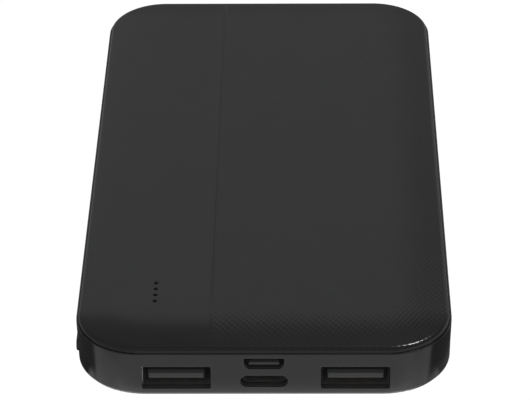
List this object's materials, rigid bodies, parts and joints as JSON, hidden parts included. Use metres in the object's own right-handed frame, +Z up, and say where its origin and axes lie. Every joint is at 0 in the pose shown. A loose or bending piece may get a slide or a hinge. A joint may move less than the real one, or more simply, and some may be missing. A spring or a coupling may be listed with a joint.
{
  "type": "power bank",
  "caption": "Slim rounded-rectangle power bank with a crowned top cover, recessed USB ports in one end, a side power button and a row of pin-hole charge lights.",
  "frame": {"origin": "centre of the underside, on the plane the power bank rests on", "axes": "+Z up through the top cover; -Y out of the end with the ports; +Y towards the blank end, along the length; +X to the right when looking at the ports"},
  "size_m": [0.0701, 0.131, 0.0127],
  "materials": {
    "cover_plastic": "matte black moulded plastic",
    "frame_plastic": "satin black moulded plastic",
    "button_plastic": "satin black moulded plastic",
    "light_guide": "smoked clear plastic",
    "led_body": "white chip package",
    "circuit_board": "green solder mask",
    "protection_board": "green solder mask",
    "connector_shell": "dark nickel plate",
    "connector_insulator": "dark grey glass-filled plastic",
    "connector_insulator_dark": "black glass-filled plastic",
    "contact_metal": "gold plate",
    "switch_plastic": "black moulded plastic",
    "switch_plunger": "white moulded plastic",
    "switch_frame": "tin plate",
    "ferrite": "sintered ferrite",
    "chip_package": "epoxy mould compound",
    "capacitor_body": "ceramic",
    "resistor_body": "glazed ceramic chip",
    "screw_metal": "zinc plate",
    "cell_pouch": "laminated aluminium foil",
    "tab_metal": "bare metal strip",
    "polyimide_tape": "polyimide film",
    "lead_red": "silicone insulation",
    "lead_black": "silicone insulation",
    "foam_pad": "closed-cell foam"
  },
  "bodies": {
    "housing": {"adhesive_pads": "foam_pad", "battery_lead_negative": "lead_black", "battery_lead_positive": "lead_red", "boost_inductor": "ferrite", "bottom_cover": "cover_plastic", "cell_tab_negative": "tab_metal", "cell_tab_positive": "tab_metal", "ceramic_capacitors": "capacitor_body", "chip_resistors": "resistor_body", "controller_ic": "chip_package", "foam_strip": "foam_pad", "insulating_tape": "polyimide_tape", "led_light_guide": "light_guide", "main_pcb": "circuit_board", "micro_usb_contacts": "contact_metal", "micro_usb_shell": "connector_shell", "micro_usb_tongue": "connector_insulator", "mid_frame": "frame_plastic", "pcb_screws": "screw_metal", "pouch_cell": "cell_pouch", "power_mosfets": "chip_package", "protection_board": "protection_board", "protection_chips": "chip_package", "status_leds": "led_body", "tact_switch_body": "switch_plastic", "tact_switch_frame": "switch_frame", "top_cover": "cover_plastic", "usb_a_left_contacts": "contact_metal", "usb_a_left_shell": "connector_shell", "usb_a_left_tongue": "connector_insulator", "usb_a_right_contacts": "contact_metal", "usb_a_right_shell": "connector_shell", "usb_a_right_tongue": "connector_insulator", "usb_c_contacts": "contact_metal", "usb_c_shell": "connector_shell", "usb_c_tongue": "connector_insulator_dark"},
    "power_button": {"power_button": "button_plastic"},
    "switch_plunger": {"tact_switch_plunger": "switch_plunger"}
  },
  "joints": [
    {"name": "power_button_press", "type": "slide", "parent": "housing", "child": "power_button", "axis": [1, 0, 0], "range_m": [0, 0.00025]},
    {"name": "switch_plunger_press", "type": "slide", "parent": "housing", "child": "switch_plunger", "axis": [1, 0, 0], "range_m": [0, 0.00025]}
  ],
  "couplings": [
    {"joint": "switch_plunger_press", "follows": "power_button_press", "ratio": 1}
  ]
}
